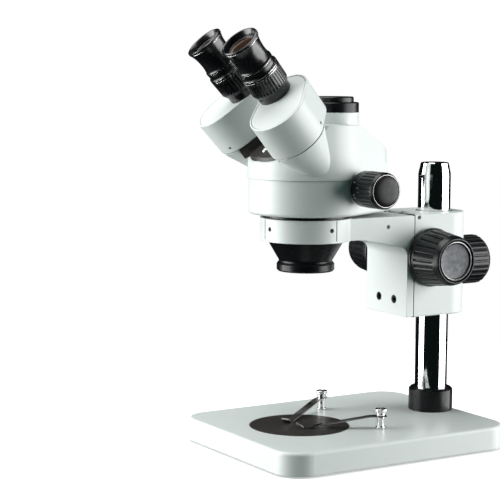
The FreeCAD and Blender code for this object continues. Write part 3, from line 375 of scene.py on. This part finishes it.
class Ribs:
    """Grip ribs round a turned piece: grooves of depth between two heights, outside inner."""

    def __init__(self, count, depth, low, high, groove=0.25, crown=0.25, ramp=1.2, inner=0.0):
        self.count, self.depth, self.low, self.high = count, depth, low, high
        self.groove, self.crown, self.ramp, self.inner = groove, crown, ramp, inner

    def angles(self):
        edge = self.groove / 2
        shares = [-edge * 0.7, 0, edge * 0.7, edge]
        shares += [edge + (1 - 2 * edge) * t for t in (0.08, 0.25, 0.5, 0.75, 0.92, 1.0)]
        return [(rib + share) / self.count * math.tau
                for rib in range(self.count) for share in shares]

    def sink(self, angle, height):
        """How far below the turned surface a point at this angle and height lies."""
        if not self.low < height < self.high:
            return 0.0
        along = min(1.0, (height - self.low) / self.ramp, (self.high - height) / self.ramp)
        share = angle / math.tau * self.count % 1.0
        share = min(share, 1 - share)
        edge = self.groove / 2
        if share < edge * 0.72:
            depth = self.depth
        else:
            side = abs((share - 0.5) / (0.5 - edge))
            depth = self.crown * min(side, 1.0) ** 4
        return depth * along


def lathe(name, axis, profile, finish, steps=96, ribs=None, closed=False):
    """Turn a profile of (radius, height) in millimetres about axis."""
    angles = ribs.angles() if ribs else [i / steps * math.tau for i in range(steps)]
    mesh = bmesh.new()
    rings = []
    for radius, height in profile:
        if radius < 1e-6:
            rings.append([mesh.verts.new(axis.point(0, 0, height))])
            continue
        ring = []
        for angle in angles:
            sink = ribs.sink(angle, height) if ribs and radius > ribs.inner else 0.0
            ring.append(mesh.verts.new(axis.point(radius - sink, angle, height)))
        rings.append(ring)
    if closed:
        rings.append(rings[0])
    for low, high in zip(rings, rings[1:]):
        for i in range(len(angles)):
            corners = [low[i % len(low)], low[(i + 1) % len(low)],
                       high[(i + 1) % len(high)], high[i % len(high)]]
            corners = [c for k, c in enumerate(corners) if c not in corners[:k]]
            if len(corners) > 2:
                mesh.faces.new(corners)
    return finished(name, mesh, finish)


def ribbed(name, axis, profile, corner, finish, ribs):
    """Turn a profile with its corners rounded and ribs cut into it."""
    return lathe(name, axis, thick_line(rounded(profile, corner)), finish, ribs=ribs)


def finished(name, mesh, finish):
    """Turn a bmesh into an object with smooth faces and crisp edges."""
    bmesh.ops.recalc_face_normals(mesh, faces=mesh.faces)
    data = bpy.data.meshes.new(name)
    mesh.to_mesh(data)
    mesh.free()
    data.shade_smooth()
    data.set_sharp_from_angle(angle=SHARP_EDGE)
    data.materials.append(finish)
    made = bpy.data.objects.new(name, data)
    bpy.context.scene.collection.objects.link(made)
    return made


def fit(piece, body, slot, *replaced):
    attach(piece, body)
    if replaced:
        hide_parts(*replaced)
    return piece


def trim_ring(name, axis, radius, height, width, depth, body, finish=None, slot="bright_steel"):
    """A thin ring set into a turned surface, width along the axis and depth proud of radius."""
    half = width / 2
    outline = rounded([(radius - 0.4, height - half), (radius + depth, height - half),
                       (radius + depth, height + half), (radius - 0.4, height + half)], 0.12)
    return fit(lathe(name, axis, outline, finish or BRIGHT, closed=True), body, slot)


# ---------------------------------------------------------------- knobs

def shaft_ends(joint_name):
    """The name and the outward axis of each end of a cross shaft."""
    hub = joint_place(joint_name)
    for name, side in SIDES.items():
        yield name, Axis(hub, (side, 0, 0))


def add_focus_knobs():
    for name, axis in shaft_ends("focus_turn"):
        start, end, outer = axis.reach(f"focus_knob_{name}")
        axis = axis.moved(start)
        length = end - start
        wall = outer - 8.2
        profile = [(6, 0), (outer - 1, 0), (outer, 1), (outer, 4.4), (outer - 1.1, 5.4),
                   (outer - 1.1, 8), (outer - 4.4, length - 6), (outer - 5.4, length - 3),
                   (outer - 6.4, length - 0.6), (outer - 7.2, length), (wall, length),
                   (wall, length - 4), (6, length - 4)]
        ribs = Ribs(24, 1.5, 7.6, length - 6.6, groove=0.24, crown=0.35)
        grip = ribbed(f"focus_grip_{name}", axis, profile, 0.5, BLACK_PLASTIC, ribs)
        fit(grip, "focus_drive", "black_plastic", f"focus_knob_{name}")


def add_zoom_knobs():
    for name, axis in shaft_ends("zoom_turn"):
        start, end, outer = axis.reach(f"zoom_knob_{name}")
        axis = axis.moved(start)
        length = end - start
        profile = [(3.2, 0), (outer - 1.4, 0), (outer - 0.2, 1.2), (outer - 0.2, 9.6),
                   (outer, 10.4), (outer, length - 3), (outer - 1.3, length - 0.4),
                   (outer - 1.7, length), (outer - 2.4, length), (outer - 2.4, length - 3),
                   (3.2, length - 3)]
        ribs = Ribs(26, 1.0, 10.8, length - 2.6, groove=0.26, crown=0.25, ramp=0.8)
        grip = ribbed(f"zoom_grip_{name}", axis, profile, 0.4, BLACK_PLASTIC, ribs)
        fit(grip, "zoom_drive", "black_plastic", f"zoom_knob_{name}")


def add_lock_knob():
    hub = joint_place("lock_turn")
    axis = Axis(hub, (0, 1, 0))
    start, end, outer = axis.reach("lock_knob")
    axis = axis.moved(end)
    stud = start - end
    profile = [(0, stud), (4.6, stud), (5, stud + 0.4), (5, -29.3), (12, -29.3), (12, -27.3),
               (outer - 2.4, -27.3), (outer, -24.6), (outer, -5), (outer - 3, -1), (outer - 4.4, 0),
               (14, 0), (13, -2), (0, -2)]
    ribs = Ribs(24, 1.7, -26.6, -1.2, groove=0.28, crown=0.45, ramp=2.5)
    grip = ribbed("lock_grip", axis, profile, 0.6, BLACK_PLASTIC, ribs)
    fit(grip, "lock_knob", "black_plastic", "lock_knob")


def add_focus_discs():
    """Dished discs in the ends of the focus knobs, with a bright line round each: a raised bead whose lighter
    steel is a painted highlight of the reflection on the rim.
    """
    for name, axis in shaft_ends("focus_turn"):
        length = axis.reach(f"focus_knob_{name}")[1]
        radius = axis.reach("focus_caps")[2]
        profile = [(0, length - 3.9), (radius, length - 3.9), (radius, length - 1.7),
                   (radius - 0.5, length - 1.0), (radius - 1.3, length - 0.9),
                   (radius - 2.2, length - 1.3), (radius - 3.2, length - 2.1),
                   (radius - 8, length - 2.5), (0, length - 2.7)]
        disc = lathe(f"focus_disc_{name}", axis, rounded(profile, 0.5), DISC)
        fit(disc, "focus_drive", "machined_aluminium", "focus_caps")
        # the bead's steel is lighter than the disc: a painted highlight of the reflection on the rim
        bead = [(radius - 2.0, length - 1.5), (radius - 1.2, length - 1.3),
                (radius - 1.0, length - 0.7), (radius - 1.5, length - 0.5),
                (radius - 2.1, length - 0.9)]
        ring = lathe(f"focus_bead_{name}", axis, bead, SPRING_STEEL, closed=True)
        fit(ring, "focus_drive", "bright_steel")
        trim_ring(f"focus_line_{name}", axis, radius + 1.6, length - 0.12, 0.3, 0.25,
                  "focus_drive", DISC, "machined_aluminium")


def wrapped_text(words, axis, radius, height, angle, size):
    """Raised characters bent round a turned surface."""
    curve = bpy.data.curves.new("characters", "FONT")
    curve.body = words
    curve.size = size * MM
    curve.extrude = 0.06 * MM
    curve.align_x = "CENTER"
    curve.align_y = "CENTER"
    flat = bpy.data.objects.new("characters", curve)
    bpy.context.scene.collection.objects.link(flat)
    bpy.context.view_layer.update()
    depsgraph = bpy.context.evaluated_depsgraph_get()
    shape = bpy.data.meshes.new_from_object(flat.evaluated_get(depsgraph))
    bpy.data.objects.remove(flat)
    bpy.data.curves.remove(curve)
    for vertex in shape.vertices:
        x, y, z = vertex.co / MM
        vertex.co = axis.point(radius + z, angle + x / radius, height + y)
    return shape


def add_zoom_dials():
    """Smooth end domes, a bright ring and the magnifications round each zoom knob."""
    first_turn, turn_step = math.radians(-20), math.radians(46)
    for name, axis in shaft_ends("zoom_turn"):
        start, end, outer = axis.reach(f"zoom_knob_{name}")
        _, high, radius = axis.reach("zoom_caps")
        curve = smooth_line([(radius, high - 3.4), (radius - 0.7, high - 2.2),
                             (radius - 3.4, high - 0.9), (radius - 8, high - 0.2), (0, high)])
        profile = [(0, high - 6), (radius, high - 6), *curve]
        dome = lathe(f"zoom_dome_{name}", axis, profile, SOFT_RUBBER)
        fit(dome, "zoom_drive", "soft_rubber", "zoom_caps")
        trim_ring(f"zoom_line_{name}", axis, radius + 0.6, end - 0.1, 0.4, 0.1,
                  "zoom_drive", SPRING_STEEL)
        dial = bmesh.new()
        for place, words in enumerate(("0.7", "1", "2", "3", "4.5"), start=-2):
            angle = SIDES[name] * (first_turn + turn_step * place)
            shape = wrapped_text(words, axis, outer - 0.2, start + 5.2, angle, 4.2)
            dial.from_mesh(shape)
            bpy.data.meshes.remove(shape)
        fit(finished(f"zoom_numbers_{name}", dial, DIAL_WHITE), "zoom_drive", "white_paint")


add_focus_knobs()
add_focus_discs()
add_zoom_knobs()
add_zoom_dials()
add_lock_knob()


# ---------------------------------------------------------------- eyepieces

def eye_axis(name):
    turn = joint(f"diopter_turn_{name}")
    return Axis(turn["pos_m"], turn["axis"])


def add_diopter_ring(name):
    axis = eye_axis(name)
    low, high, outer = axis.reach(f"diopter_ring_{name}")
    inner = outer - 2.4
    profile = [(inner, low), (outer - 1.9, low), (outer - 1.2, low + 0.8), (outer - 0.6, low + 2.6),
               (outer - 0.1, low + 3.4), (outer, high - 4.4), (outer, high - 0.7),
               (outer - 0.6, high), (outer - 1.1, high), (outer - 1.1, high - 6.4),
               (inner, high - 6.4)]
    ribs = Ribs(36, 0.75, low + 3.6, high - 4.8, groove=0.5, crown=0.1, ramp=0.7,
                inner=outer - 0.9)
    outline = thick_line(rounded([*profile, profile[0]], 0.3))[:-1]
    grip = lathe(f"diopter_grip_{name}", axis, outline, EYE_BLACK, ribs=ribs, closed=True)
    body = f"diopter_ring_{name}"
    fit(grip, body, "black_metal", body)
    for label, height in (("upper", high - 1.5), ("lower", high - 3.5)):
        trim_ring(f"diopter_{label}_line_{name}", axis, outer - 0.05, height, 0.4, 0.08, body)
    trim_ring(f"diopter_base_line_{name}", axis, outer - 1.1, low + 1.4, 0.35, 0.05, body)


def add_eyepiece(name):
    axis = eye_axis(name)
    low, high, outer = axis.reach(f"eyepiece_{name}")
    body = f"eyepiece_{name}"
    bore, barrel, flange, lens_radius = 11.4, 13.7, 17.2, 12.9
    waist = smooth_line([(outer - 2.1, high - 24.6), (outer - 2.7, high - 20.5),
                         (outer - 2.75, high - 16), (outer - 2.3, high - 10),
                         (outer - 1.1, high - 5), (outer - 0.25, high - 2.6)])
    bowl = smooth_line([(outer - 1.3, high), (outer - 2.2, high - 0.5), (outer - 3.6, high - 2.4),
                        (outer - 4.9, high - 5.0), (outer - 5.1, high - 7.9)])
    profile = [(bore, low), (barrel, low), (barrel, high - 28.5), (flange, high - 28.5),
               (flange, high - 26.4), (outer - 1.9, high - 25.6), *waist, (outer, high - 1.9),
               (outer - 0.2, high - 0.7), *bowl, (bore, high - 8)]
    shell = lathe(f"eyecup_{name}", axis, profile, EYE_BLACK, closed=True)
    fit(shell, body, "black_metal", body)
    # bright plated rings: painted highlights of the glossy lip below the rim and of the step edge at the flange
    trim_ring(f"eyecup_highlight_ring_{name}", axis, outer - 0.25, high - 2.9, 0.35, 0.08, body)
    trim_ring(f"flange_highlight_ring_{name}", axis, flange - 0.05, high - 27.4, 0.3, 0.06, body)
    rim = high - 6.2
    face = smooth_line([(lens_radius, rim), (11.8, rim + 0.7), (8.0, rim + 1.4), (0, rim + 1.8)])
    profile = [(0, high - 7.9), (lens_radius, high - 7.9), *face]
    lens = lathe(f"field_lens_{name}", axis, profile, LENS_COAT)
    fit(lens, body, "optical_glass", f"eye_lens_{name}")
    ring = [(12.55, rim - 0.1), (13.3, rim - 0.1), (13.3, rim + 0.7), (13.0, rim + 0.9),
            (12.55, rim + 0.5)]
    fit(lathe(f"lens_ring_{name}", axis, ring, DISC, closed=True), body, "machined_aluminium")


for side_name in SIDES:
    add_diopter_ring(side_name)
    add_eyepiece(side_name)


# ---------------------------------------------------------------- small fittings

def add_clip_post(name):
    """A plated post with a knurled head, over the clip's own post."""
    axis = Axis(joint_place(f"clip_{name}_turn"), (0, 0, 1))
    low, high, outer = axis.reach(f"clip_post_{name}")
    profile = [(0, low), (3, low), (3, high - 19.1), (4.5, high - 19.1), (4.5, high - 17.2),
               (3.5, high - 16.9), (3.5, high - 9.5), (4.3, high - 9.5), (4.4, high - 8.0),
               (3.5, high - 8.0), (3.5, high - 6.9), (4.3, high - 6.6), (4.3, high - 3.3),
               (outer - 0.7, high - 3.2), (outer, high - 2.7), (outer, high - 0.6),
               (outer - 0.6, high), (outer - 2.2, high), (outer - 2.6, high - 0.4),
               (0, high - 0.4)]
    ribs = Ribs(28, 0.3, high - 2.8, high - 0.5, groove=0.5, crown=0.05, ramp=0.4)
    post = ribbed(f"clip_pin_{name}", axis, profile, 0.3, BRIGHT, ribs)
    fit(post, f"clip_{name}", "bright_steel", f"clip_post_{name}")


def add_brow_screw():
    """The pan-head screw that holds the black plate between the eyepiece halves."""
    below_hinge, forward = 6.1 * MM, 13 * MM
    hinge = joint("eye_swing_right")
    slope = Vector((0, hinge["axis"][1], hinge["axis"][2])).normalized()
    spot = Vector((0, hinge["pos_m"][1], hinge["pos_m"][2])) - slope * below_hinge
    spot -= slope.cross(Vector((1, 0, 0))) * forward
    axis = Axis(spot, slope)
    profile = [(0, -1.5), (2.8, -1.5), (2.9, 0.6), (2.4, 1.5), (1.5, 2.0), (0.9, 2.05),
               (0.7, 1.2), (0, 1.2)]
    fit(lathe("brow_screw", axis, rounded(profile, 0.3), BRIGHT, 48), "head", "bright_steel")


def seam_line(name, axis, radius, angle, low, high, body):
    """A fine dark joint line up a turned surface, a shallow arch in section."""
    half_width, proud, steps, across = 0.5, 0.05, 12, (-1.0, -0.5, 0.0, 0.5, 1.0)
    mesh = bmesh.new()
    rows = []
    for step in range(steps + 1):
        height = low + (high - low) * step / steps
        rows.append([mesh.verts.new(axis.point(radius + proud * (1 - share * share),
                                               angle + share * half_width / radius, height))
                     for share in across])
    for near, far in zip(rows, rows[1:]):
        for k in range(len(across) - 1):
            mesh.faces.new([near[k], near[k + 1], far[k + 1], far[k]])
    return fit(finished(name, mesh, BLACK_STEEL), body, "dark_steel")


def add_ring_seams():
    """Joint lines up the head ring on either side of its clamping part."""
    azimuths = {"right": 8.0, "front": -94.5}
    place = joint_place("head_turn")
    axis = Axis((place.x, place.y, 0), (0, 0, 1))
    radius = (place.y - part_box("carriage_arm")[0].y) / MM
    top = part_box("carriage_arm")[1].z / MM
    for label, azimuth in azimuths.items():
        direction = Vector((math.cos(math.radians(azimuth)), math.sin(math.radians(azimuth)), 0))
        angle = math.atan2(direction.dot(axis.across), direction.dot(axis.up))
        seam_line(f"ring_seam_{label}", axis, radius, angle, top - 19.5, top - 0.6, "carriage")


for side_name in SIDES:
    add_clip_post(side_name)
add_brow_screw()
add_ring_seams()


# ---------------------------------------------------------------- floor, light and camera

def add_floor():
    """A pale round table top, kept out of shadows, reflections and bounced light."""
    floor_mesh = bpy.data.meshes.new("floor")
    radius, count = 0.62, 96
    turns = [i / count * math.tau for i in range(count)]
    rim = [(radius * math.cos(turn), radius * math.sin(turn), 0) for turn in turns]
    floor_mesh.from_pydata(rim, [], [tuple(range(count))])
    floor = bpy.data.objects.new("floor", floor_mesh)
    bpy.context.scene.collection.objects.link(floor)
    finish = Finish("pale_floor", (0.93, 0.93, 0.93), 0.9, Emission_Color=(1, 1, 1, 1),
                    Emission_Strength=0.35)
    finish.vary_colour(finish.noise(3, 3), (0.92, 0.92, 0.925))
    floor_mesh.materials.append(finish.done())
    floor.visible_diffuse = False
    floor.visible_glossy = False
    floor.visible_shadow = False


SUBJECT = Vector((0, 0, 0.2))


def add_softbox(name, azimuth, distance, height, size, power):
    """A softbox round the subject, azimuth in degrees from +X, its middle at height."""
    data = bpy.data.lights.new(name, "AREA")
    data.shape = "RECTANGLE"
    data.size, data.size_y = size
    data.energy = power
    lamp = bpy.data.objects.new(name, data)
    bpy.context.scene.collection.objects.link(lamp)
    turn = math.radians(azimuth)
    lamp.location = (distance * math.cos(turn), distance * math.sin(turn), height)
    lamp.rotation_euler = (SUBJECT - lamp.location).to_track_quat("-Z", "Y").to_euler()


def add_world():
    """White behind the object, a dim cool room for its shading, almost black in reflections."""
    shading, reflections = 0.09, 0.006
    world = bpy.data.worlds.new("studio_room")
    bpy.context.scene.world = world
    world.use_nodes = True
    nodes, links = world.node_tree.nodes, world.node_tree.links
    backdrop = nodes["Background"]
    backdrop.inputs["Color"].default_value = (1, 1, 1, 1)
    room = nodes.new("ShaderNodeBackground")
    room.inputs["Color"].default_value = (0.5, 0.95, 0.85, 1)
    rays = nodes.new("ShaderNodeLightPath")
    matt = nodes.new("ShaderNodeMapRange")
    matt.inputs["To Max"].default_value = shading
    matt.inputs["To Min"].default_value = reflections
    links.new(rays.outputs["Is Diffuse Ray"], matt.inputs["Value"])
    links.new(matt.outputs["Result"], room.inputs["Strength"])
    mix = nodes.new("ShaderNodeMixShader")
    links.new(rays.outputs["Is Camera Ray"], mix.inputs[0])
    links.new(room.outputs[0], mix.inputs[1])
    links.new(backdrop.outputs[0], mix.inputs[2])
    links.new(mix.outputs[0], nodes["World Output"].inputs["Surface"])


VIEW_AZIMUTH = math.radians(58.524)
VIEW_FALL = math.radians(6.527)
VIEW_ROLL = math.radians(0.372)
CAMERA_PLACE = Vector((1.3062, -0.9117, 0.3701))
LENS_LENGTH, SENSOR_WIDTH = 119.94, 36  # mm


def add_camera():
    data = bpy.data.cameras.new("camera")
    data.sensor_width = SENSOR_WIDTH
    data.lens = LENS_LENGTH
    data.clip_start = 0.05
    data.clip_end = 50
    camera = bpy.data.objects.new("camera", data)
    bpy.context.scene.collection.objects.link(camera)
    ahead = Vector((-math.sin(VIEW_AZIMUTH) * math.cos(VIEW_FALL),
                    math.cos(VIEW_AZIMUTH) * math.cos(VIEW_FALL), -math.sin(VIEW_FALL)))
    level = Vector((math.cos(VIEW_AZIMUTH), math.sin(VIEW_AZIMUTH), 0))
    above = level.cross(ahead)
    right = level * math.cos(VIEW_ROLL) + above * math.sin(VIEW_ROLL)
    up = above * math.cos(VIEW_ROLL) - level * math.sin(VIEW_ROLL)
    camera.matrix_world = Matrix(((right.x, up.x, -ahead.x, CAMERA_PLACE.x),
                                  (right.y, up.y, -ahead.y, CAMERA_PLACE.y),
                                  (right.z, up.z, -ahead.z, CAMERA_PLACE.z),
                                  (0, 0, 0, 1)))
    bpy.context.scene.camera = camera


add_floor()
add_world()
add_softbox("front_softbox", -117, 1.6, 0.3, (1.3, 1.5), 48)
add_softbox("side_softbox", 55, 1.6, 0.3, (1.75, 1.5), 51)
add_softbox("top_softbox", -120, 0.5, 1.6, (1.3, 1.3), 24)
add_camera()
bpy.context.scene.view_settings.view_transform = "Standard"
